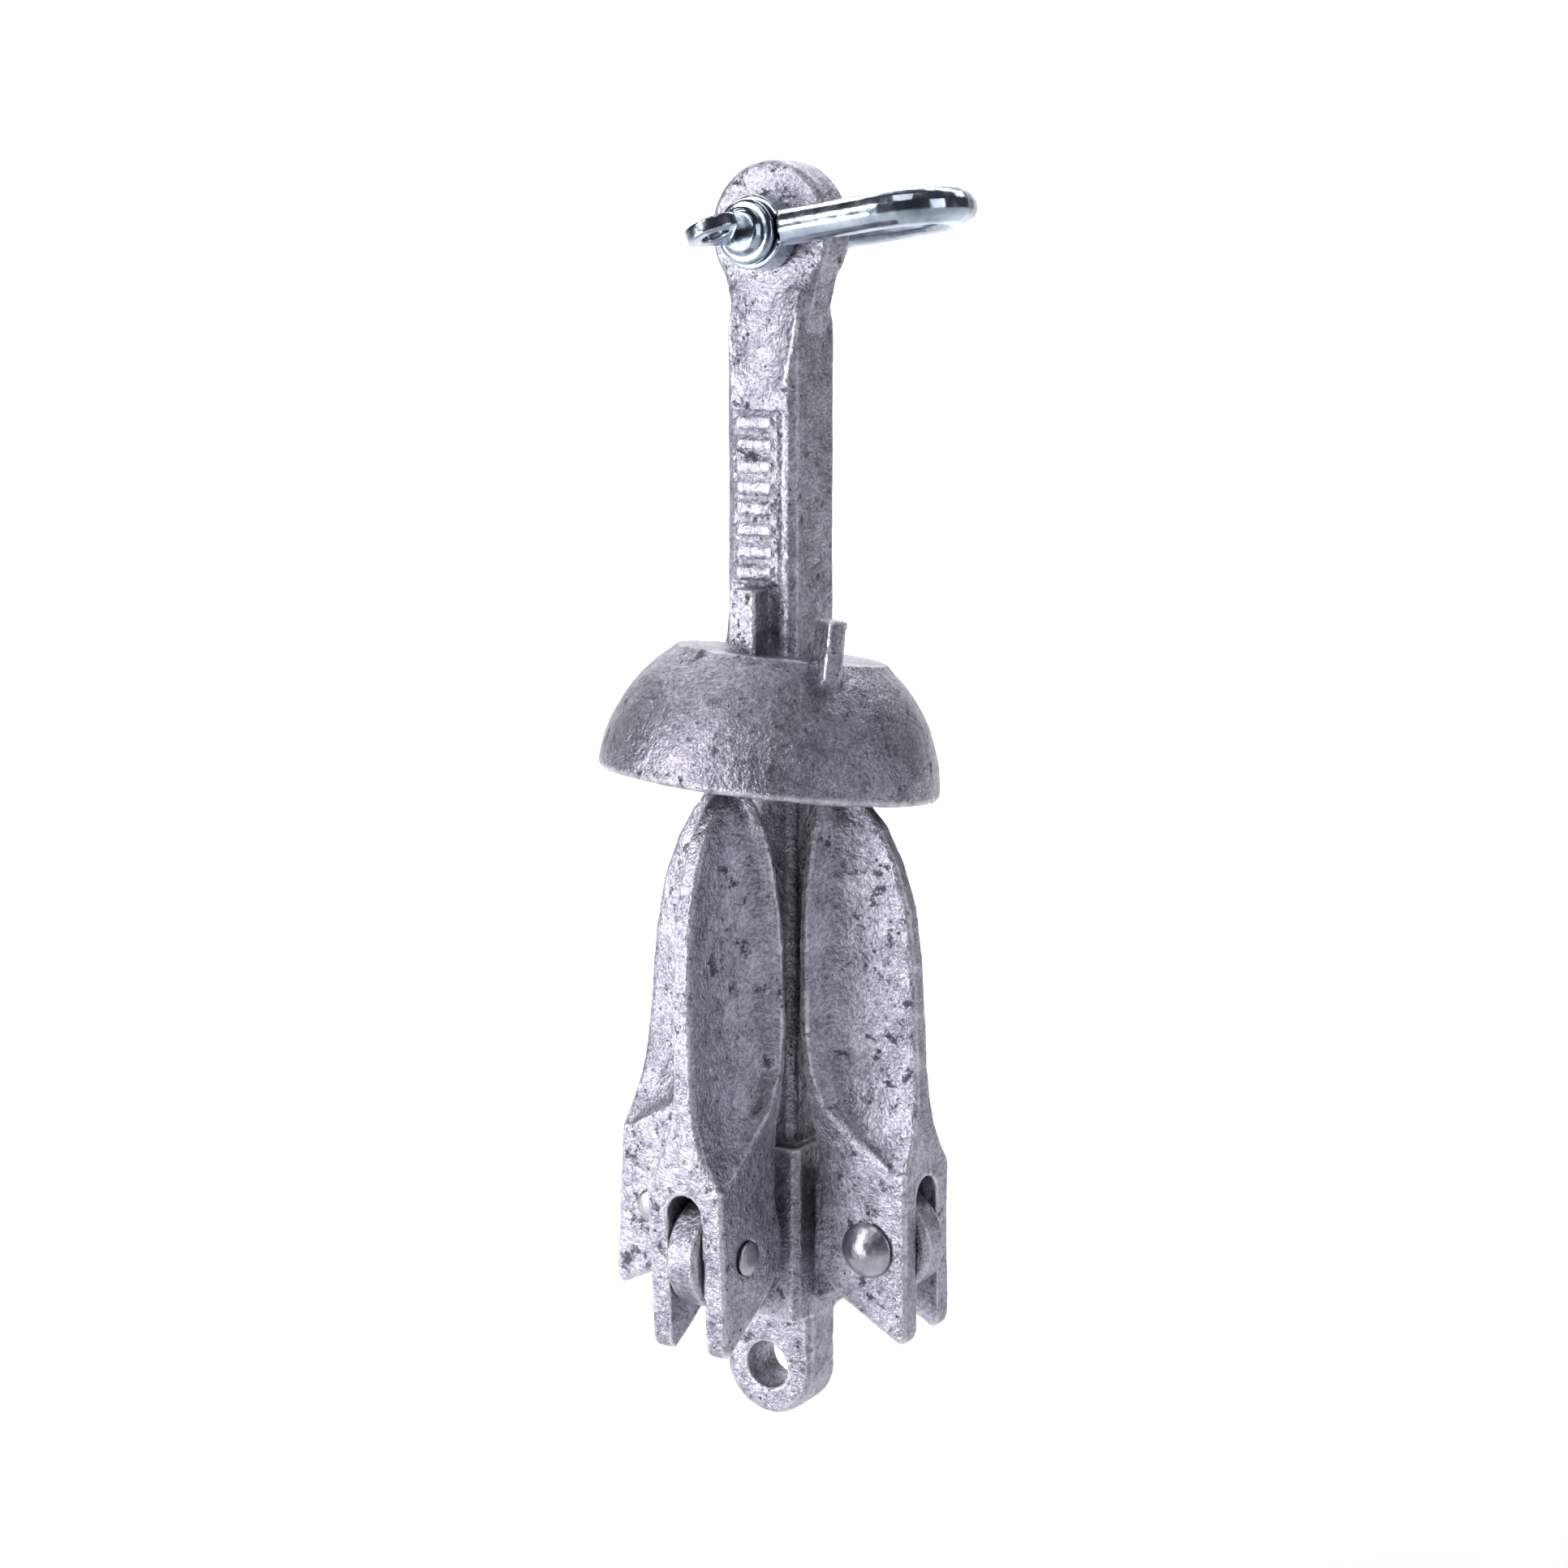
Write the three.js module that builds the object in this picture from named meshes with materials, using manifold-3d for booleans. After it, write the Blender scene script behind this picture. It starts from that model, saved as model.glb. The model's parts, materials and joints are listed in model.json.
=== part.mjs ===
// Small folding grapnel anchor with its screw-pin shackle, stowed: four hinged flukes lie along the
// shank and the sliding collar is dropped over their tips.
// Millimetres, +Z up along the shank. The origin is the centre of the hole in the shackle eye.
// The eye's flat faces and the raised panel face -Y (front) and +Y (back).
import * as THREE from "three";
import { mergeVertices } from "three/addons/utils/BufferGeometryUtils.js";
import Module from "manifold-3d";

const wasm = await Module();
wasm.setup();

// ---------------------------------------------------------------- driving dimensions

const DEG = Math.PI / 180;
const GAP = 0.3; // air left between neighbouring pieces

// shank casting: eye, bar, crown with four lugs, trip-line eye
const EYE_R = 11.5;
const EYE_Z = 0.4; // the hole sits a little low in the eye
const EYE_HALF_THICK = 3.8;
const EYE_HOLE_R = 3.8;
const NECK_END = -16.9; // where the eye's shoulders have run out into the bar
const BAR_HALF = 6.8;
const BAR_CHAMFER = 1.3;
const SCOOP_R = 17; // round hollow that thins the bar towards the eye
const SCOOP_TOP = -8.4;
const SCOOP_END = -26;
const PANEL = { x: -0.4, width: 8.8, top: -28.6, bottom: -56.6, rise: 0.5, ribs: 8, ribTall: 1.7, ribRise: 0.55 };
const BOSS = { half: 2.45, reach: 12.1, top: -57.3, bottom: -70 };
const CROWN_HALF = 9;
const CROWN_TOP = -151.8;
const CROWN_BOTTOM = -182.6;
const CROWN_CHAMFER = 1.1;
const TAIL_R = 8.7;
const TAIL_Z = -193;
const TAIL_HALF_THICK = 4.4;
const TAIL_HOLE_R = 4.1;

// hinge of each fluke, in the plane through the shank's axis
const PIN_RADIUS = 22; // pin's distance from the shank's axis
const PIN_Z = -167.2;
const LUG_R = 9.2;
const LUG_HALF = 3;
const RIVET_R = 2.55;

// flukes: a broad palm that faces the shank, and a deep rib on its back
const FORK_HALF = 7.4;
const FORK_FACE = 29.2; // outer face's distance from the shank's axis
const FORK_TOP = -153.4;
const SLOT_HALF = LUG_HALF + 0.42;
const SLOT_TOP = -155.3;
const FORK_LOBE_R = 10.9; // round inner end of the fork, about the pin
const OPEN_ANGLE = 60; // the fork's lower edge lies flat on the crown at this angle
const FLUKES = [
  { side: "front", turn: -90, lean: 3.3 },
  { side: "right", turn: 0, lean: -0.6 },
  { side: "back", turn: 90, lean: 0.2 },
  { side: "left", turn: 180, lean: -3.3 },
];

// Sections of a fluke from its tip down to the fork. rib: the rib's half thickness; back: its edge;
// palm: the palm's half width; edge: the palm edge's radius; thick: how thick that edge is;
// belly: the palm's inner face on its centre line. All radii are from the shank's axis.
const SECTIONS = [
  { z: -89.8, rib: 0.9, back: 13.3, palm: 3.6, edge: 11.6, thick: 0.9, belly: 12.0 },
  { z: -92.3, rib: 1.2, back: 17.3, palm: 5.4, edge: 11.2, thick: 1.5, belly: 12.3 },
  { z: -96.7, rib: 1.5, back: 21.2, palm: 7, edge: 10.6, thick: 1.9, belly: 12.6 },
  { z: -102.4, rib: 1.6, back: 24.2, palm: 8.1, edge: 10, thick: 2.1, belly: 12.9 },
  { z: -110, rib: 1.7, back: 26.6, palm: 8.9, edge: 9.6, thick: 2.1, belly: 13.1 },
  { z: -119.5, rib: 1.8, back: 27.8, palm: 9.2, edge: 9.6, thick: 2.1, belly: 13.2 },
  { z: -130, rib: 1.8, back: 28.2, palm: 9.1, edge: 9.6, thick: 2.2, belly: 13.2 },
  { z: -137.6, rib: 1.9, back: 28.4, palm: 8.7, edge: 9.9, thick: 2.6, belly: 13.1 },
  { z: -143.3, rib: 2.5, back: 28.8, palm: 8.1, edge: 10.5, thick: 4.2, belly: 13 },
  { z: -148.6, rib: 4.1, back: 29.2, palm: 7.5, edge: 11.6, thick: 8.4, belly: 12.8 },
  { z: -152.4, rib: 6.1, back: 29.2, palm: 7.4, edge: 12.1, thick: 13.6, belly: 12.5 },
  { z: -155.8, rib: 7.2, back: 29.2, palm: 7.4, edge: 12.2, thick: 16.9, belly: 12.3 },
];

// collar: a domed cup with a flat top, loose on the bar, so it hangs tilted
const COLLAR = {
  rimR: 28.9,
  domeHeight: 27.4, // height the dome would have if its top weren't flat
  height: 22,
  topR: 17.7,
  wall: 2.4,
  ceiling: 18.1,
  boreR: 9.2,
  slotHalf: 3.4,
  slotReach: 12.9,
  seat: 19.9, // height in the collar of the point that stays on the shank's axis
  seatZ: -71.1,
  tiltX: -6.9,
  tiltY: 2.8,
};
const FIN = { inner: 15, outer: 21.4, thick: 3.2, top: 29.3, bottom: 13.1, turn: -34 };

// screw-pin shackle; its pin lies along Y through the origin
const BOW = {
  rodR: 3,
  jawHalf: 6,
  earR: 6,
  earThick: 4.9,
  start: 5.65, // where the rod leaves the ear
  crownReach: 34.4,
  shift: 1.6,
  rise: 8.4,
  tilt: -2, // its pin is loose in the eye, and its far end has dropped
};
const BOW_HOLE_R = 3.2;
const PIN_R = 2.95;
const PIN_FLANGE = { r: 5.3, thick: 1.7 };
const PIN_BOSS = { r: 3.8, thick: 1.3 };
const PIN_TAB = { half: 4.6, holeR: 2.25, thick: 2.25, reach: 12.9, roll: 24 };
const PIN_TIP = 1.1; // how far the threaded end stands out of the far ear

// ---------------------------------------------------------------- materials

const castIron = () => new THREE.MeshStandardMaterial({ color: 0x8d8c96, roughness: 0.55, metalness: 0.85 });
const collarIron = () => new THREE.MeshStandardMaterial({ color: 0x7d7a88, roughness: 0.55, metalness: 0.85 });
const rivetSteel = () => new THREE.MeshStandardMaterial({ color: 0x9a9ca4, roughness: 0.4, metalness: 0.95 });
const zincPlate = () => new THREE.MeshStandardMaterial({ color: 0xc3cdd6, roughness: 0.22, metalness: 1 });

// ---------------------------------------------------------------- solids

// A closed three.js geometry as a solid, and back.
function solid(geometry) {
  const bare = geometry.index ? geometry.toNonIndexed() : geometry.clone();
  for (const name of Object.keys(bare.attributes)) {
    if (name !== "position") bare.deleteAttribute(name);
  }
  const merged = mergeVertices(bare, 1e-4);
  const corners = merged.index.array;
  const kept = [];
  for (let i = 0; i < corners.length; i += 3) {
    const [a, b, c] = corners.slice(i, i + 3);
    if (a !== b && b !== c && c !== a) kept.push(a, b, c);
  }
  const vertProperties = new Float32Array(merged.attributes.position.array);
  const made = new wasm.Mesh({ numProp: 3, vertProperties, triVerts: new Uint32Array(kept) });
  return new wasm.Manifold(made);
}

function geometryOf(body) {
  const { numProp, numVert, vertProperties, triVerts } = body.getMesh();
  const positions = new Float32Array(numVert * 3);
  for (let i = 0; i < numVert; i++) {
    positions.set(vertProperties.subarray(i * numProp, i * numProp + 3), i * 3);
  }
  const geometry = new THREE.BufferGeometry();
  geometry.setAttribute("position", new THREE.BufferAttribute(positions, 3));
  geometry.setIndex(new THREE.BufferAttribute(new Uint32Array(triVerts), 1));
  geometry.computeVertexNormals();
  return geometry;
}

const join = (...bodies) => bodies.reduce((a, b) => a.add(b));
const cut = (body, ...tools) => tools.reduce((a, b) => a.subtract(b), body);

function box(x0, x1, y0, y1, z0, z1) {
  const geometry = new THREE.BoxGeometry(x1 - x0, y1 - y0, z1 - z0);
  return geometry.translate((x0 + x1) / 2, (y0 + y1) / 2, (z0 + z1) / 2);
}

// A cylinder along Y from y0 to y1.
function rodY(r, y0, y1, sides) {
  return new THREE.CylinderGeometry(r, r, y1 - y0, sides).translate(0, (y0 + y1) / 2, 0);
}

// An outline drawn in X and Z, made a plate centred on y = 0, with bevelled edges if asked.
function plateY(shape, half, bevel, curveSegments) {
  const geometry = new THREE.ExtrudeGeometry(shape, {
    depth: 2 * (half - bevel),
    curveSegments,
    bevelEnabled: bevel > 0,
    bevelThickness: bevel,
    bevelSize: bevel,
    bevelOffset: -bevel,
    bevelSegments: 1,
  });
  return geometry.translate(0, 0, bevel - half).rotateX(Math.PI / 2);
}

// A square bar with chamfered corners, upright between two heights.
function chamferedBar(half, chamfer, bottom, top) {
  const c = half - chamfer;
  const corners = [[half, -c], [half, c], [c, half], [-c, half], [-half, c], [-half, -c], [-c, -half], [c, -half]];
  const shape = new THREE.Shape(corners.map(([x, y]) => new THREE.Vector2(x, y)));
  const geometry = new THREE.ExtrudeGeometry(shape, { depth: top - bottom, bevelEnabled: false });
  return geometry.translate(0, 0, bottom);
}

// A closed skin through rings of equally many points, with flat ends.
function loft(rings) {
  const count = rings[0].length;
  const points = rings.flat();
  const index = [];
  for (let i = 0; i + 1 < rings.length; i++) {
    for (let j = 0; j < count; j++) {
      const a = i * count + j;
      const b = i * count + ((j + 1) % count);
      index.push(a, a + count, b, b, a + count, b + count);
    }
  }
  for (const [ring, first, flip] of [[rings[0], 0, true], [rings.at(-1), points.length - count, false]]) {
    const flat = ring.map((p) => new THREE.Vector2(p.x, p.y));
    for (const [a, b, c] of THREE.ShapeUtils.triangulateShape(flat, [])) {
      index.push(first + a, first + (flip ? b : c), first + (flip ? c : b));
    }
  }
  const geometry = new THREE.BufferGeometry().setFromPoints(points);
  geometry.setIndex(index);
  return geometry;
}

// ---------------------------------------------------------------- shank casting

function eyePlate() {
  const shoulder = -38 * DEG;
  const shape = new THREE.Shape();
  shape.moveTo(BAR_HALF - 0.2, NECK_END);
  shape.quadraticCurveTo(BAR_HALF + 1, -11.8, EYE_R * Math.cos(shoulder), EYE_Z + EYE_R * Math.sin(shoulder));
  shape.absarc(0, EYE_Z, EYE_R, shoulder, Math.PI - shoulder, false);
  shape.quadraticCurveTo(-BAR_HALF - 1, -11.8, -BAR_HALF + 0.2, NECK_END);
  return solid(plateY(shape, EYE_HALF_THICK, 0.85, 20));
}

// The bar, hollowed front and back where it thins towards the eye.
function bar() {
  const run = SCOOP_TOP - SCOOP_END;
  const rise = BAR_HALF - EYE_HALF_THICK;
  const scoops = [-1, 1].map((side) => {
    const scoop = new THREE.CylinderGeometry(SCOOP_R, SCOOP_R, 60, 40).rotateX(Math.PI / 2);
    scoop.rotateX(side * Math.atan(rise / run));
    const z = (SCOOP_TOP + SCOOP_END) / 2;
    return solid(scoop.translate(0, side * ((BAR_HALF + EYE_HALF_THICK) / 2 + SCOOP_R), z));
  });
  return cut(solid(chamferedBar(BAR_HALF, BAR_CHAMFER, CROWN_TOP - 4, SCOOP_TOP)), ...scoops);
}

// A plain raised panel with even ribs.
function panel() {
  const { x, width, top, bottom, rise, ribs, ribTall, ribRise } = PANEL;
  const face = -BAR_HALF - rise;
  const bodies = [solid(box(x - width / 2, x + width / 2, face, -BAR_HALF + 1, bottom, top))];
  const pitch = (top - bottom) / ribs;
  for (let i = 0; i < ribs; i++) {
    const z = top - (i + 0.5) * pitch;
    const half = width / 2 - 1.1;
    bodies.push(solid(box(x - half, x + half, face - ribRise, -BAR_HALF, z - ribTall / 2, z + ribTall / 2)));
  }
  return join(...bodies);
}

// The lock bosses that the collar is turned under, front and back.
function bosses() {
  const { half, reach, top, bottom } = BOSS;
  return join(
    solid(box(-half, half, -reach, -BAR_HALF + 1, bottom, top)),
    solid(box(-half, half, BAR_HALF - 1, reach, bottom, top)),
  );
}

// One flat lug, round about the fluke's pin, drawn for the +X side.
function lug() {
  const shape = new THREE.Shape();
  shape.moveTo(0, PIN_Z + LUG_R);
  shape.lineTo(PIN_RADIUS, PIN_Z + LUG_R);
  shape.absarc(PIN_RADIUS, PIN_Z, LUG_R, Math.PI / 2, -106 * DEG, true);
  shape.lineTo(CROWN_HALF - 0.2, CROWN_BOTTOM + 2);
  shape.lineTo(0, CROWN_BOTTOM + 2);
  return solid(plateY(shape, LUG_HALF, 0.75, 14));
}

function crown() {
  const block = solid(chamferedBar(CROWN_HALF, CROWN_CHAMFER, CROWN_BOTTOM, CROWN_TOP));
  const lugs = FLUKES.map(({ turn }) => lug().rotate([0, 0, turn]));
  const bores = FLUKES.map(({ turn }) => {
    const bore = rodY(RIVET_R + GAP, -LUG_HALF - 1, LUG_HALF + 1, 20).translate(PIN_RADIUS, 0, PIN_Z);
    return solid(bore.rotateZ(turn * DEG));
  });
  return cut(join(block, ...lugs), ...bores);
}

function tail() {
  const shape = new THREE.Shape();
  shape.moveTo(TAIL_R, CROWN_BOTTOM + 3);
  shape.lineTo(-TAIL_R, CROWN_BOTTOM + 3);
  shape.absarc(0, TAIL_Z, TAIL_R, Math.PI, 2 * Math.PI, false);
  const plate = solid(plateY(shape, TAIL_HALF_THICK, 0.85, 16));
  return cut(plate, solid(rodY(TAIL_HOLE_R, -9, 9, 24).translate(0, 0, TAIL_Z)));
}

function shank() {
  const body = join(eyePlate(), bar(), panel(), bosses(), crown(), tail());
  return cut(body, solid(rodY(EYE_HOLE_R, -9, 9, 24)));
}

// ---------------------------------------------------------------- flukes and rivets, about the pin

// Half of one section from the rib's edge round to the palm's inner face, as [across, radius].
function halfSection({ rib, back, palm, edge, thick, belly }) {
  const drop = back - edge - thick;
  const crest = new THREE.Vector2(rib * 1.03, back - 0.06 * drop);
  const lip = new THREE.Vector2(rib + 0.88 * (palm - rib), edge + thick);
  const hollow = new THREE.Vector2(rib + 0.1 * (palm - rib), lip.y + 0.08 * drop);
  const side = new THREE.QuadraticBezierCurve(crest, hollow, lip).getPoints(6);
  const inner = [0.97, 0.7, 0.35].map((s) => [palm * s, belly - (belly - edge) * s * s]);
  return [[rib * 0.8, back], ...side.map((p) => [p.x, p.y]), [palm, lip.y - 0.2 * thick], ...inner];
}

function bladeRing(section) {
  const half = halfSection(section);
  const mirrored = half.map(([across, r]) => [-across, r]).reverse();
  const outline = [...half, [0, section.belly], ...mirrored];
  return outline.map(([across, r]) => new THREE.Vector3(r - PIN_RADIUS, across, section.z - PIN_Z));
}

function forkBlock() {
  const normal = 240.6 * DEG; // square to the stop face below the fork
  const foot = [PIN_RADIUS + FORK_LOBE_R * Math.cos(normal), PIN_Z + FORK_LOBE_R * Math.sin(normal)];
  const tip = [26.9, foot[1] - (26.9 - foot[0]) * Math.tan(29.4 * DEG)];
  const shape = new THREE.Shape();
  shape.moveTo(12.2, FORK_TOP);
  shape.lineTo(12.6, -158);
  shape.quadraticCurveTo(12.4, -162, 11.2, -165.4);
  shape.absarc(PIN_RADIUS, PIN_Z, FORK_LOBE_R, 172 * DEG, normal, false);
  shape.lineTo(...tip);
  shape.quadraticCurveTo(FORK_FACE, tip[1] - 1.6, FORK_FACE, tip[1] + 1.9);
  shape.lineTo(FORK_FACE, FORK_TOP);
  return solid(plateY(shape, FORK_HALF, 0.5, 6).translate(-PIN_RADIUS, 0, -PIN_Z));
}

function fluke() {
  const blade = solid(loft(SECTIONS.map(bladeRing)));
  const slotEnd = SLOT_TOP - SLOT_HALF - PIN_Z;
  const arch = new THREE.CylinderGeometry(SLOT_HALF, SLOT_HALF, 40, 20).rotateZ(Math.PI / 2);
  return cut(
    join(blade, forkBlock()),
    solid(box(-20, 20, -SLOT_HALF, SLOT_HALF, -30, slotEnd)),
    solid(arch.translate(0, 0, slotEnd)),
    solid(rodY(RIVET_R + GAP, -12, 12, 20)),
  );
}

// Round-headed rivet: head at -Y, hammered end at +Y.
function rivet() {
  const seat = FORK_HALF + GAP;
  const profile = [
    [0, -seat - 2.8],
    [1.6, -seat - 2.6],
    [3.1, -seat - 1.9],
    [4.2, -seat - 1.0],
    [4.8, -seat - 0.3],
    [4.8, -seat],
    [RIVET_R, -seat],
    [RIVET_R, seat],
    [3, seat],
    [2.9, seat + 0.35],
    [1.5, seat + 0.65],
    [0, seat + 0.75],
  ];
  return solid(new THREE.LatheGeometry(profile.map(([r, y]) => new THREE.Vector2(r, y)), 24));
}

// ---------------------------------------------------------------- collar, its rim on z = 0

// Points of a dome's outline from the rim up to the height where it is cut flat.
function domeOutline(radius, height, from, to, steps) {
  return Array.from({ length: steps + 1 }, (_, i) => {
    const z = from + ((to - from) * i) / steps;
    return new THREE.Vector2(radius * Math.sqrt(1 - (z / height) ** 2), z);
  });
}

function latheZ(points, segments) {
  return solid(new THREE.LatheGeometry(points, segments).rotateX(Math.PI / 2));
}

function collar() {
  const { rimR, domeHeight, height, topR, wall, ceiling, boreR, slotHalf, slotReach } = COLLAR;
  const start = new THREE.Vector2(0, 0);
  const rim = new THREE.Vector2(rimR - 0.65, 0);
  const top = [new THREE.Vector2(topR, height), new THREE.Vector2(0, height)];
  const outer = latheZ([start, rim, ...domeOutline(rimR, domeHeight, 0.8, height - 0.9, 9), ...top], 56);
  const hollow = domeOutline(rimR - wall, domeHeight - wall, 0, ceiling - 0.8, 7);
  const roof = [new THREE.Vector2(hollow.at(-1).x - 1.1, ceiling), new THREE.Vector2(0, ceiling)];
  const mouth = [new THREE.Vector2(0, -2), new THREE.Vector2(rimR - wall + 0.4, -2)];
  const inner = latheZ([...mouth, ...hollow, ...roof], 48);
  const fins = [0, 180].map((half) => {
    const { inner: r0, outer: r1, thick, top: z1, bottom: z0, turn } = FIN;
    return solid(box(r0, r1, -thick / 2, thick / 2, z0, z1).rotateZ((turn + half) * DEG));
  });
  const bore = solid(new THREE.CylinderGeometry(boreR, boreR, 40, 32).rotateX(Math.PI / 2).translate(0, 0, 20));
  const slot = solid(box(-slotHalf, slotHalf, -slotReach, slotReach, 5, 40));
  return cut(join(outer, ...fins), inner, bore, slot);
}

// ---------------------------------------------------------------- shackle, its plane flat in X and Y

function shackleBow() {
  const { rodR, jawHalf, earR, earThick, crownReach, start } = BOW;
  const half = jawHalf + rodR;
  const bend = crownReach - rodR - half;
  const path = new THREE.CurvePath();
  path.add(new THREE.LineCurve3(new THREE.Vector3(start, -half, 0), new THREE.Vector3(bend, -half, 0)));
  for (const [from, to] of [[-90, 0], [0, 90]]) {
    const at = (deg) => new THREE.Vector3(bend + half * Math.cos(deg * DEG), half * Math.sin(deg * DEG), 0);
    const mid = (from + to) / 2;
    const arc = [from, mid - 22.5, mid, mid + 22.5, to].map(at);
    path.add(new THREE.CatmullRomCurve3(arc));
  }
  path.add(new THREE.LineCurve3(new THREE.Vector3(bend, half, 0), new THREE.Vector3(start, half, 0)));
  const round = new THREE.Shape().absarc(0, 0, rodR, 0, 2 * Math.PI, false);
  const rod = new THREE.ExtrudeGeometry(round, { extrudePath: path, steps: 30, curveSegments: 7 });
  const ears = [-1, 1].map((side) => {
    const near = side * jawHalf;
    const far = side * (jawHalf + earThick);
    return solid(rodY(earR, Math.min(near, far), Math.max(near, far), 28));
  });
  return cut(join(solid(rod), ...ears), solid(rodY(BOW_HOLE_R, -20, 20, 24)));
}

// The pin's parts lie along Y: tab, boss, flange, shaft.
function shacklePin() {
  const seat = -(BOW.jawHalf + BOW.earThick + GAP);
  const end = BOW.jawHalf + BOW.earThick + PIN_TIP;
  const flangeEnd = seat - PIN_FLANGE.thick;
  const bossEnd = flangeEnd - PIN_BOSS.thick;
  const profile = [
    [0, bossEnd],
    [PIN_BOSS.r - 0.6, bossEnd],
    [PIN_BOSS.r, flangeEnd],
    [PIN_FLANGE.r - 0.5, flangeEnd],
    [PIN_FLANGE.r, flangeEnd + 0.5],
    [PIN_FLANGE.r, seat - 0.3],
    [PIN_FLANGE.r - 0.3, seat],
    [PIN_R, seat],
    [PIN_R, end - 0.7],
    [PIN_R - 0.7, end],
    [0, end],
  ];
  const turned = solid(new THREE.LatheGeometry(profile.map(([r, y]) => new THREE.Vector2(r, y)), 26));
  const { half, holeR, thick, reach, roll } = PIN_TAB;
  const centre = flangeEnd - reach + half;
  const shape = new THREE.Shape();
  shape.moveTo(PIN_BOSS.r - 0.8, flangeEnd - 0.4);
  shape.absarc(0, centre, half, 0, -Math.PI, true);
  shape.lineTo(-PIN_BOSS.r + 0.8, flangeEnd - 0.4);
  const plate = new THREE.ExtrudeGeometry(shape, { depth: thick, curveSegments: 10, bevelEnabled: false });
  const hole = new THREE.CylinderGeometry(holeR, holeR, 9, 20).rotateX(Math.PI / 2).translate(0, centre, 0);
  const tab = cut(solid(plate.translate(0, 0, -thick / 2)), solid(hole));
  return join(turned, tab.rotate([0, -roll, 0]));
}

// ---------------------------------------------------------------- assembly

function named(name, body, material) {
  const mesh = new THREE.Mesh(geometryOf(body), material);
  mesh.name = name;
  return mesh;
}

// A fluke and its rivet, hung on the pin at one side of the crown.
function flukeStation({ side, turn, lean }) {
  const hinge = new THREE.Group();
  hinge.position.set(PIN_RADIUS, 0, PIN_Z);
  hinge.rotation.y = lean * DEG;
  hinge.add(named(`fluke_${side}`, fluke(), castIron()));
  hinge.add(named(`rivet_${side}`, rivet(), rivetSteel()));
  const station = new THREE.Group();
  station.rotation.z = turn * DEG;
  station.add(hinge);
  return station;
}

// The collar hangs tilted about the point where its top sits round the bar.
function hungCollar() {
  const mesh = named("collar", collar(), collarIron());
  mesh.position.z = -COLLAR.seat;
  const hang = new THREE.Group();
  hang.add(mesh);
  hang.position.z = COLLAR.seatZ;
  hang.rotation.set(COLLAR.tiltX * DEG, COLLAR.tiltY * DEG, 0);
  return hang;
}

// The shackle stands out to the right, pushed back along its tilted pin towards its front ear.
function shackle() {
  const group = new THREE.Group();
  group.rotation.x = BOW.tilt * DEG;
  const bow = named("shackle_bow", shackleBow(), zincPlate());
  bow.rotation.y = -BOW.rise * DEG;
  const pin = named("shackle_pin", shacklePin(), zincPlate());
  for (const mesh of [bow, pin]) {
    mesh.position.y = BOW.shift;
    group.add(mesh);
  }
  return group;
}

const anchor = new THREE.Group();
anchor.add(named("shank", shank(), castIron()));
anchor.add(hungCollar());
for (const place of FLUKES) anchor.add(flukeStation(place));
anchor.add(shackle());

export default anchor;
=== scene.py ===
"""Looks of a small folding grapnel anchor: galvanised castings, steel rivets, zinc-plated shackle.

Metres, +Z up along the shank, -Y its front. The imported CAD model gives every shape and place. Each
CAD solid is redrawn here as a fine skin with rounded edges and its own surface relief.
"""

import json
import math

import bpy
import numpy as np
from mathutils import Matrix, Vector, noise

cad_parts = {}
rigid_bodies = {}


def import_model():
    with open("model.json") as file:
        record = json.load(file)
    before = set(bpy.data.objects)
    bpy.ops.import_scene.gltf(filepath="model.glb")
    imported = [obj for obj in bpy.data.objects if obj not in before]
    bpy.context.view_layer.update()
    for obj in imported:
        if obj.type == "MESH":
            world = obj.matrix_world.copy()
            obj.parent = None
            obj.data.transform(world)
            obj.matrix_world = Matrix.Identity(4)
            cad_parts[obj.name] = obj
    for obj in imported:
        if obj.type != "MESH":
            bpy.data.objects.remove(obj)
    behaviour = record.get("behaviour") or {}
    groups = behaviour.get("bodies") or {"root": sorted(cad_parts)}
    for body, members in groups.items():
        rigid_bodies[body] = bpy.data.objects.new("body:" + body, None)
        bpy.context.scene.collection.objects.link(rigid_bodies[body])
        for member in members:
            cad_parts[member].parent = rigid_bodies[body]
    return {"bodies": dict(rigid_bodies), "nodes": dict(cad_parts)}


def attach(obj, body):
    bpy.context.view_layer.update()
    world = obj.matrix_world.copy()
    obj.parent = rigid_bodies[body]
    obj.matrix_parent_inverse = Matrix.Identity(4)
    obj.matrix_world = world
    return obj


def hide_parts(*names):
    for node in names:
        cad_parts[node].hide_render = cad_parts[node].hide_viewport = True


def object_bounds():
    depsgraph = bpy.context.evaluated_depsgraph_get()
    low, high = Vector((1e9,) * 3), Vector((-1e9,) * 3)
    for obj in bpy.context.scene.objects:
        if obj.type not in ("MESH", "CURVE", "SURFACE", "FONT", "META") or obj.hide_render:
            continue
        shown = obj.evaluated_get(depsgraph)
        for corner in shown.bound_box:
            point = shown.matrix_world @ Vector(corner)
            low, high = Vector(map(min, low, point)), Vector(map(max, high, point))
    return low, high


MM = 0.001

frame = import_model()
cad_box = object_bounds()
nodes = frame["nodes"]
FLUKES = [body for body in frame["bodies"] if body.startswith("fluke_")]
BULGE = "bulge"  # the skins' attribute for edges and creases

# ---------------------------------------------------------------- camera

AZIMUTH = math.radians(32.7)  # seen from the front, a third of the way round to the right
PITCH = math.radians(10.2)  # looking down from the height of the eye
DISTANCE = 0.512  # from the upright line through the eye
FOCAL = 70.8  # for the 36 mm wide frame
SIDE = 0.0005  # camera to the right of that line
RAISE = 0.0008  # camera above the eye


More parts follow.
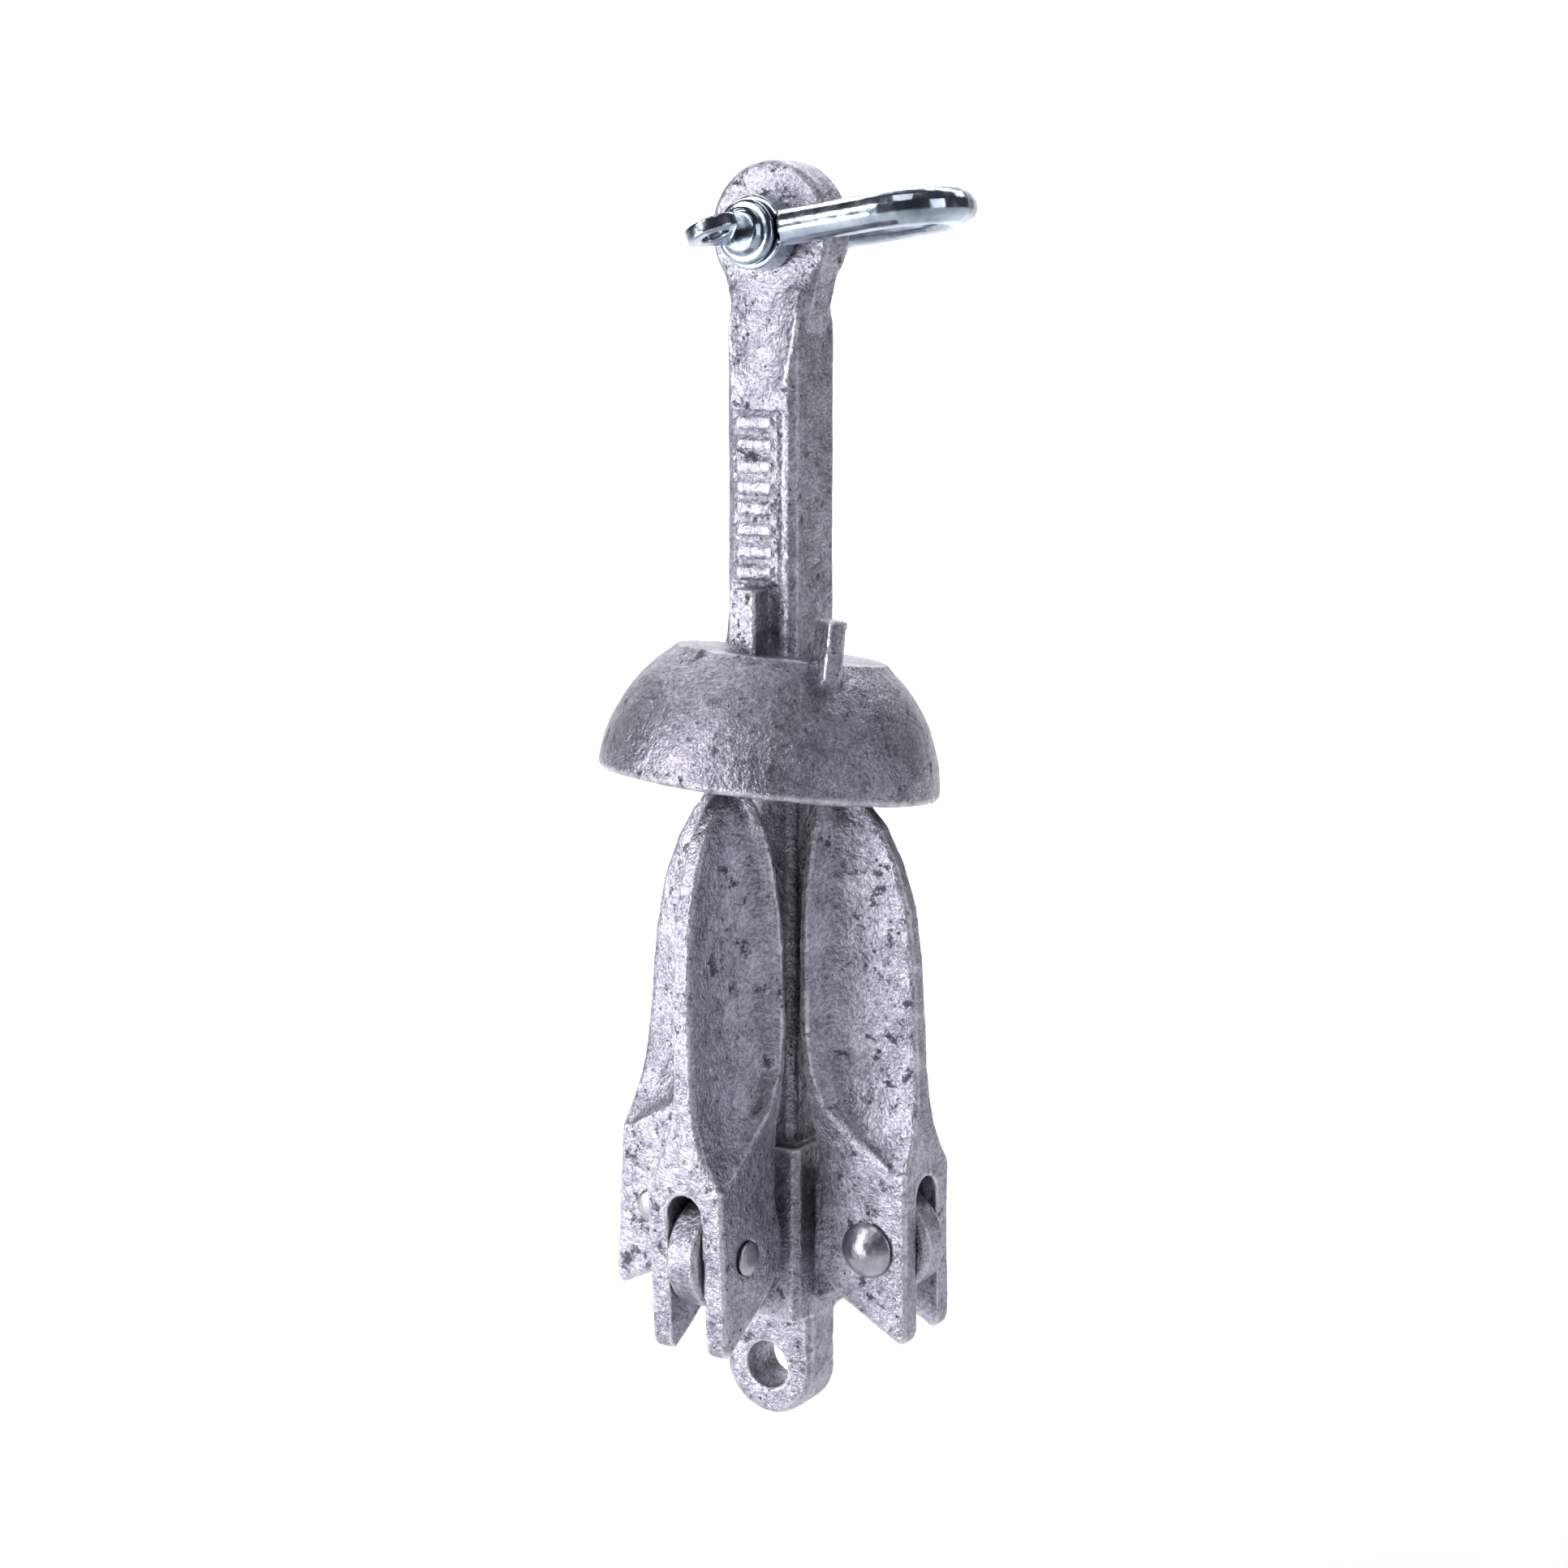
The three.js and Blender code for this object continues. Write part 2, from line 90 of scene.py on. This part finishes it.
def add_camera():
    data = bpy.data.cameras.new("camera")
    data.lens = FOCAL
    data.sensor_width = 36
    data.clip_start = 0.01
    camera = bpy.data.objects.new("camera", data)
    bpy.context.scene.collection.objects.link(camera)
    towards = Vector((math.sin(AZIMUTH), -math.cos(AZIMUTH), 0))
    right = Vector((math.cos(AZIMUTH), math.sin(AZIMUTH), 0))
    camera.location = towards * DISTANCE + right * SIDE + Vector((0, 0, RAISE))
    camera.rotation_euler = (math.pi / 2 - PITCH, 0, AZIMUTH)
    bpy.context.scene.camera = camera


# ---------------------------------------------------------------- node trees


def node(tree, kind, inputs=None, **settings):
    """Adds a node. Inputs are linked when they are sockets and set when they are plain values."""
    made = tree.nodes.new(kind)
    for key, value in settings.items():
        setattr(made, key, value)
    for key, value in (inputs or {}).items():
        if isinstance(value, bpy.types.NodeSocket):
            tree.links.new(value, made.inputs[key])
        else:
            made.inputs[key].default_value = value
    return made


def new_material(name):
    material = bpy.data.materials.new(name)
    material.use_nodes = True
    return material, material.node_tree, material.node_tree.nodes["Principled BSDF"]


def millimetres(tree):
    """The surface point in the object's own frame, in millimetres."""
    coord = node(tree, "ShaderNodeTexCoord").outputs["Object"]
    scaled = node(tree, "ShaderNodeVectorMath", {0: coord, "Scale": 1 / MM}, operation="SCALE")
    return scaled.outputs[0]


def clouds(tree, place, size, detail=3, rough=0.55):
    """Soft noise whose patches are about size millimetres across, from 0 to 1."""
    inputs = {"Vector": place, "Scale": 1 / size, "Detail": detail, "Roughness": rough}
    return node(tree, "ShaderNodeTexNoise", inputs).outputs["Fac"]


def grains(tree, place, size):
    """The distance to the nearest of scattered points about size millimetres apart."""
    inputs = {"Vector": place, "Scale": 1 / size}
    return node(tree, "ShaderNodeTexVoronoi", inputs).outputs["Distance"]


def span(tree, value, low, high, to_low=0.0, to_high=1.0):
    """Maps low..high to to_low..to_high and holds the ends."""
    inputs = {"Value": value, "From Min": low, "From Max": high, "To Min": to_low, "To Max": to_high}
    return node(tree, "ShaderNodeMapRange", inputs).outputs["Result"]


def math_of(tree, operation, a, b):
    return node(tree, "ShaderNodeMath", {0: a, 1: b}, operation=operation).outputs[0]


def bulges(tree):
    """What mark_bulges stores on a skin."""
    return node(tree, "ShaderNodeAttribute", attribute_name=BULGE).outputs["Fac"]


def blended(tree, factor, a, b):
    """Two colours mixed by a factor."""
    made = node(tree, "ShaderNodeMix", data_type="RGBA")
    for socket, value in ((made.inputs[0], factor), (made.inputs[6], a), (made.inputs[7], b)):
        if isinstance(value, bpy.types.NodeSocket):
            tree.links.new(value, socket)
        else:
            socket.default_value = value
    return made.outputs[2]


def bump(tree, height, depth, under=None):
    """A bump whose height of 1 is depth millimetres."""
    inputs = {"Height": height, "Distance": depth * MM, "Strength": 1.0}
    if under:
        inputs["Normal"] = under
    return node(tree, "ShaderNodeBump", inputs).outputs["Normal"]


# ---------------------------------------------------------------- materials

RUBBED_ZINC = (0.84, 0.84, 0.88, 1)  # on worn edges
SCUFF = (0.16, 0.17, 0.19, 1)
# painted shade for the creases of the plated parts
CREASE_SHADE_GREY = (0.2, 0.22, 0.25, 1)


def galvanised(name, light, dark, stain_and_crease_shade, roughness, stain_from):
    """Zinc-dipped cast iron: mottled grey, sandy, with dark stains and pits, bright worn edges and
    painted shade in its creases.
    """
    material, tree, shader = new_material(name)
    place = millimetres(tree)
    mottle = span(tree, clouds(tree, place, 4.5, detail=5, rough=0.7), 0.36, 0.66)
    speckle = span(tree, clouds(tree, place, 0.65, detail=4, rough=0.72), 0.38, 0.62)
    half_mottle = math_of(tree, "MULTIPLY", mottle, 0.5)
    half_speckle = math_of(tree, "MULTIPLY", speckle, 0.5)
    zinc = blended(tree, math_of(tree, "ADD", half_mottle, half_speckle), dark, light)
    stains = clouds(tree, place, 3.2, detail=8, rough=0.75)
    stained = span(tree, stains, stain_from, stain_from + 0.07, 0, 0.8)
    spots = span(tree, grains(tree, place, 1.5), 0.1, 0.26, 1, 0)
    spot_patches = span(tree, clouds(tree, place, 5, detail=5), 0.56, 0.62)
    pitted = math_of(tree, "MULTIPLY", spots, spot_patches)
    dirt = math_of(tree, "MAXIMUM", stained, math_of(tree, "MULTIPLY", pitted, 0.85))
    zinc = blended(tree, dirt, zinc, stain_and_crease_shade)
    bulge = bulges(tree)
    zinc = blended(tree, span(tree, bulge, 0.012, 0.04, 0, 0.8), zinc, RUBBED_ZINC)
    # Painted shade: where the skin dips into a crease, the colour is darkened towards the stain
    # colour.
    zinc = blended(tree, span(tree, bulge, -0.012, -0.045, 0, 0.85), zinc, stain_and_crease_shade)
    sand = clouds(tree, place, 0.5, detail=3, rough=0.6)
    coarse = clouds(tree, place, 1.5, detail=3)
    uneven = span(tree, clouds(tree, place, 0.9, detail=4), 0.3, 0.7, -0.08, 0.08)
    shader.inputs["Metallic"].default_value = 0.9
    tree.links.new(zinc, shader.inputs["Base Color"])
    rough = math_of(tree, "ADD", uneven, math_of(tree, "MULTIPLY", dirt, 0.22))
    tree.links.new(math_of(tree, "ADD", rough, roughness), shader.inputs["Roughness"])
    normal = bump(tree, coarse, 0.34)
    normal = bump(tree, sand, 0.21, normal)
    normal = bump(tree, math_of(tree, "SUBTRACT", 1.0, dirt), 0.12, normal)
    tree.links.new(normal, shader.inputs["Normal"])
    return material


def plated(name, colour, roughness, dull, scratch):
    """Bright plated steel with faint clouding, fine scratches, dull worn spots and painted shade in
    its creases.
    """
    material, tree, shader = new_material(name)
    place = millimetres(tree)
    haze = clouds(tree, place, 4.5, detail=4)
    tint = blended(tree, span(tree, haze, 0.35, 0.7), colour, dull)
    marks = span(tree, clouds(tree, place, 1.2, detail=6, rough=0.7), 0.62, 0.7, 0, 0.6)
    tint = blended(tree, marks, tint, SCUFF)
    # Painted shade: creases darkened towards a dark grey.
    tint = blended(tree, span(tree, bulges(tree), -0.006, -0.02, 0, 0.6), tint, CREASE_SHADE_GREY)
    shader.inputs["Metallic"].default_value = 1.0
    tree.links.new(tint, shader.inputs["Base Color"])
    worn = span(tree, clouds(tree, place, 2.0, detail=5), 0.4, 0.75, roughness, roughness + 0.16)
    tree.links.new(worn, shader.inputs["Roughness"])
    tree.links.new(bump(tree, clouds(tree, place, 1.1, detail=4), scratch), shader.inputs["Normal"])
    return material


# ---------------------------------------------------------------- skins


def skin(node_name, voxel, rounds):
    """A fine, even copy of a CAD solid, its sharp edges rounded off."""
    piece = bpy.data.objects.new(node_name + "_skin", nodes[node_name].data.copy())
    bpy.context.scene.collection.objects.link(piece)
    remesh = piece.modifiers.new("Remesh", "REMESH")
    remesh.mode = "VOXEL"
    remesh.voxel_size = voxel * MM
    relax = piece.modifiers.new("Smooth", "SMOOTH")
    relax.factor = 0.5
    relax.iterations = rounds
    fine = piece.evaluated_get(bpy.context.evaluated_depsgraph_get())
    mesh = bpy.data.meshes.new_from_object(fine)
    piece.modifiers.clear()
    piece.data = mesh
    mesh.shade_smooth()
    return piece


def softened(piece, weight, rounds):
    """Relaxes the skin where weight(point in mm) is above zero."""
    zone = piece.vertex_groups.new(name="soft")
    for vertex in piece.data.vertices:
        amount = weight(vertex.co / MM)
        if amount > 0:
            zone.add([vertex.index], min(amount, 1.0), "REPLACE")
    relax = piece.modifiers.new("Soften", "SMOOTH")
    relax.factor = 0.5
    relax.iterations = rounds
    relax.vertex_group = zone.name
    fine = piece.evaluated_get(bpy.context.evaluated_depsgraph_get())
    mesh = bpy.data.meshes.new_from_object(fine)
    piece.modifiers.clear()
    piece.vertex_groups.clear()
    piece.data = mesh


def raised(piece, height):
    """Moves each vertex along its normal by height(point in mm), in mm."""
    mesh = piece.data
    normals = [vertex.normal.copy() for vertex in mesh.vertices]
    for vertex, normal in zip(mesh.vertices, normals):
        vertex.co += normal * height(vertex.co / MM) * MM
    mesh.update()


def casting_relief(point):
    """The uneven, faintly pitted surface that sand moulding leaves, in mm."""
    swell = 0.13 * noise.noise(point / 8)
    ripple = 0.06 * noise.noise(point / 2.3 + Vector((9, 4, 2)))
    patch = noise.noise(point / 13 + Vector((3, 8, 5)))
    pit = max(0.0, noise.noise(point / 1.5) - 0.42) if patch > 0.05 else 0.0
    return swell + ripple - 0.55 * pit


BULGE_ROUNDS = 2  # how often the bulges are averaged with their neighbours


def mark_bulges(mesh):
    """Stores how far each vertex stands above its neighbours, in mm: edges above 0, creases below."""
    count = len(mesh.vertices)
    places, normals = np.empty(count * 3), np.empty(count * 3)
    pairs = np.empty(len(mesh.edges) * 2, dtype=np.int32)
    mesh.vertices.foreach_get("co", places)
    mesh.vertices.foreach_get("normal", normals)
    mesh.edges.foreach_get("vertices", pairs)
    places, normals, pairs = places.reshape(-1, 3), normals.reshape(-1, 3), pairs.reshape(-1, 2)
    ends = np.concatenate([pairs[:, 0], pairs[:, 1]])
    others = np.concatenate([pairs[:, 1], pairs[:, 0]])
    share = np.bincount(ends, minlength=count)

    def around(values):
        return np.bincount(ends, weights=values[others], minlength=count) / share

    centre = np.stack([around(places[:, axis]) for axis in range(3)], axis=1)
    bulge = ((places - centre) * normals).sum(axis=1) / MM
    for _ in range(BULGE_ROUNDS):
        bulge = (bulge + around(bulge)) / 2
    mesh.attributes.new(BULGE, "FLOAT", "POINT").data.foreach_set("value", bulge.astype(np.float32))


def finish_piece(piece, node_name, body, material):
    mark_bulges(piece.data)
    piece.data.materials.clear()
    piece.data.materials.append(material)
    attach(piece, body)
    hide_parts(node_name)


# ---------------------------------------------------------------- the anchor

IRON = galvanised(
    "galvanised_iron",
    light=(0.57, 0.56, 0.645, 1),
    dark=(0.15, 0.145, 0.185, 1),
    stain_and_crease_shade=(0.045, 0.042, 0.058, 1),
    roughness=0.38,
    stain_from=0.585,
)
COLLAR_IRON = galvanised(
    "collar_iron",
    light=(0.47, 0.45, 0.53, 1),
    dark=(0.12, 0.113, 0.147, 1),
    stain_and_crease_shade=(0.04, 0.036, 0.05, 1),
    roughness=0.36,
    stain_from=0.59,
)
RIVET = plated("rivet_steel", (0.5, 0.49, 0.54, 1), 0.3, (0.26, 0.25, 0.29, 1), 0.09)
ZINC = plated("zinc_plate", (0.46, 0.52, 0.60, 1), 0.15, (0.22, 0.26, 0.32, 1), 0.03)


def neck(point):
    """How far a point (mm) belongs to the step where the scoops run out into the eye."""
    height, reach, flank = -9.5, 3.6, 3
    return 1.4 - abs(point.z - height) / reach if abs(point.y) > flank else 0


def add_castings():
    for name in ["shank", *FLUKES]:
        piece = skin(name, 0.38, 4)
        if name == "shank":
            softened(piece, neck, 60)
        raised(piece, casting_relief)
        body = "anchor_body" if name == "shank" else name
        finish_piece(piece, name, body, IRON)


def add_collar():
    piece = skin("collar", 0.42, 6)
    blemish = Vector((-3.2, -24.0, -77))
    elsewhere = Vector((40, 0, 0))  # so that the collar's relief differs from the shank's

    def relief(point):
        away = (point - blemish).length
        rim = 0.22 * math.exp(-(((away - 2.6) / 0.7) ** 2))
        dent = 0.12 * math.exp(-((away / 1.9) ** 2))
        return casting_relief(point + elsewhere) + rim - dent

    raised(piece, relief)
    finish_piece(piece, "collar", "collar", COLLAR_IRON)


def add_rivets():
    for body in FLUKES:
        name = body.replace("fluke", "rivet")
        piece = skin(name, 0.22, 6)
        raised(piece, lambda point: 0.07 * noise.noise(point / 2.6))
        finish_piece(piece, name, body, RIVET)


def add_shackle():
    for name in ("shackle_bow", "shackle_pin"):
        piece = skin(name, 0.24, 9 if name == "shackle_bow" else 5)
        raised(piece, lambda point: 0.035 * noise.noise(point / 3.5))
        finish_piece(piece, name, name, ZINC)


# ---------------------------------------------------------------- studio

FLOOR_DROP = 0.06  # the anchor hangs this far above the floor


def add_floor():
    """A pale floor that curves up into a wall behind the anchor, as the camera sees it."""
    low = cad_box[0][2] - FLOOR_DROP
    bend, behind, rise, width = 0.5, 1.0, 2.2, 3.0
    profile = [(-2.5, 0.0), (behind, 0.0)]
    steps = 12
    for step in range(1, steps + 1):
        turn = math.radians(90 * step / steps)
        profile.append((behind + bend * math.sin(turn), bend * (1 - math.cos(turn))))
    profile.append((behind + bend, rise))
    verts = [(x, depth, low + height) for x in (-width, width) for depth, height in profile]
    count = len(profile)
    faces = [(i, i + 1, count + i + 1, count + i) for i in range(count - 1)]
    mesh = bpy.data.meshes.new("floor")
    mesh.from_pydata(verts, [], faces)
    mesh.transform(Matrix.Rotation(AZIMUTH, 4, "Z"))
    mesh.shade_smooth()
    material, tree, shader = new_material("floor_paper")
    shader.inputs["Base Color"].default_value = (0.92, 0.92, 0.93, 1)
    shader.inputs["Roughness"].default_value = 0.9
    grain = clouds(tree, millimetres(tree), 3, detail=3)
    tree.links.new(bump(tree, grain, 0.02), shader.inputs["Normal"])
    mesh.materials.append(material)
    floor = bpy.data.objects.new("floor", mesh)
    bpy.context.scene.collection.objects.link(floor)


def add_light(name, bearing, elevation, distance, size, watts, aim, colour=(1, 1, 1)):
    """An area light, its bearing counted from the camera's, positive to the camera's right."""
    data = bpy.data.lights.new(name, "AREA")
    data.shape = "RECTANGLE"
    data.size, data.size_y = size
    data.energy = watts
    data.color = colour
    light = bpy.data.objects.new(name, data)
    bpy.context.scene.collection.objects.link(light)
    turn = AZIMUTH + math.radians(bearing)
    lift = math.radians(elevation)
    flat = Vector((math.sin(turn), -math.cos(turn), 0)) * math.cos(lift)
    light.location = aim + (flat + Vector((0, 0, math.sin(lift)))) * distance
    light.rotation_euler = (aim - light.location).to_track_quat("-Z", "Y").to_euler()


def add_lights():
    middle = (Vector(cad_box[0]) + Vector(cad_box[1])) / 2
    add_light("key", -63, -4, 0.7, (0.3, 0.2), 3.0, middle)
    add_light("high key", -60, 30, 0.75, (0.3, 0.4), 2.6, middle)
    add_light("fill", 60, 14, 0.9, (0.3, 0.7), 1.8, middle, (0.93, 0.94, 1))
    add_light("top", -15, 68, 0.8, (0.4, 0.4), 1.0, middle)
    behind = middle + Vector((-math.sin(AZIMUTH), math.cos(AZIMUTH), 0)) * 1.05
    add_light("backdrop", 0, 60, 0.9, (1.6, 0.6), 21, behind)
    world = bpy.data.worlds.new("studio")
    world.use_nodes = True
    world.node_tree.nodes["Background"].inputs["Color"].default_value = (0.86, 0.87, 1, 1)
    world.node_tree.nodes["Background"].inputs["Strength"].default_value = 0.07
    bpy.context.scene.world = world
    bpy.context.scene.view_settings.view_transform = "Standard"


add_camera()
add_castings()
add_collar()
add_rivets()
add_shackle()
add_floor()
add_lights()
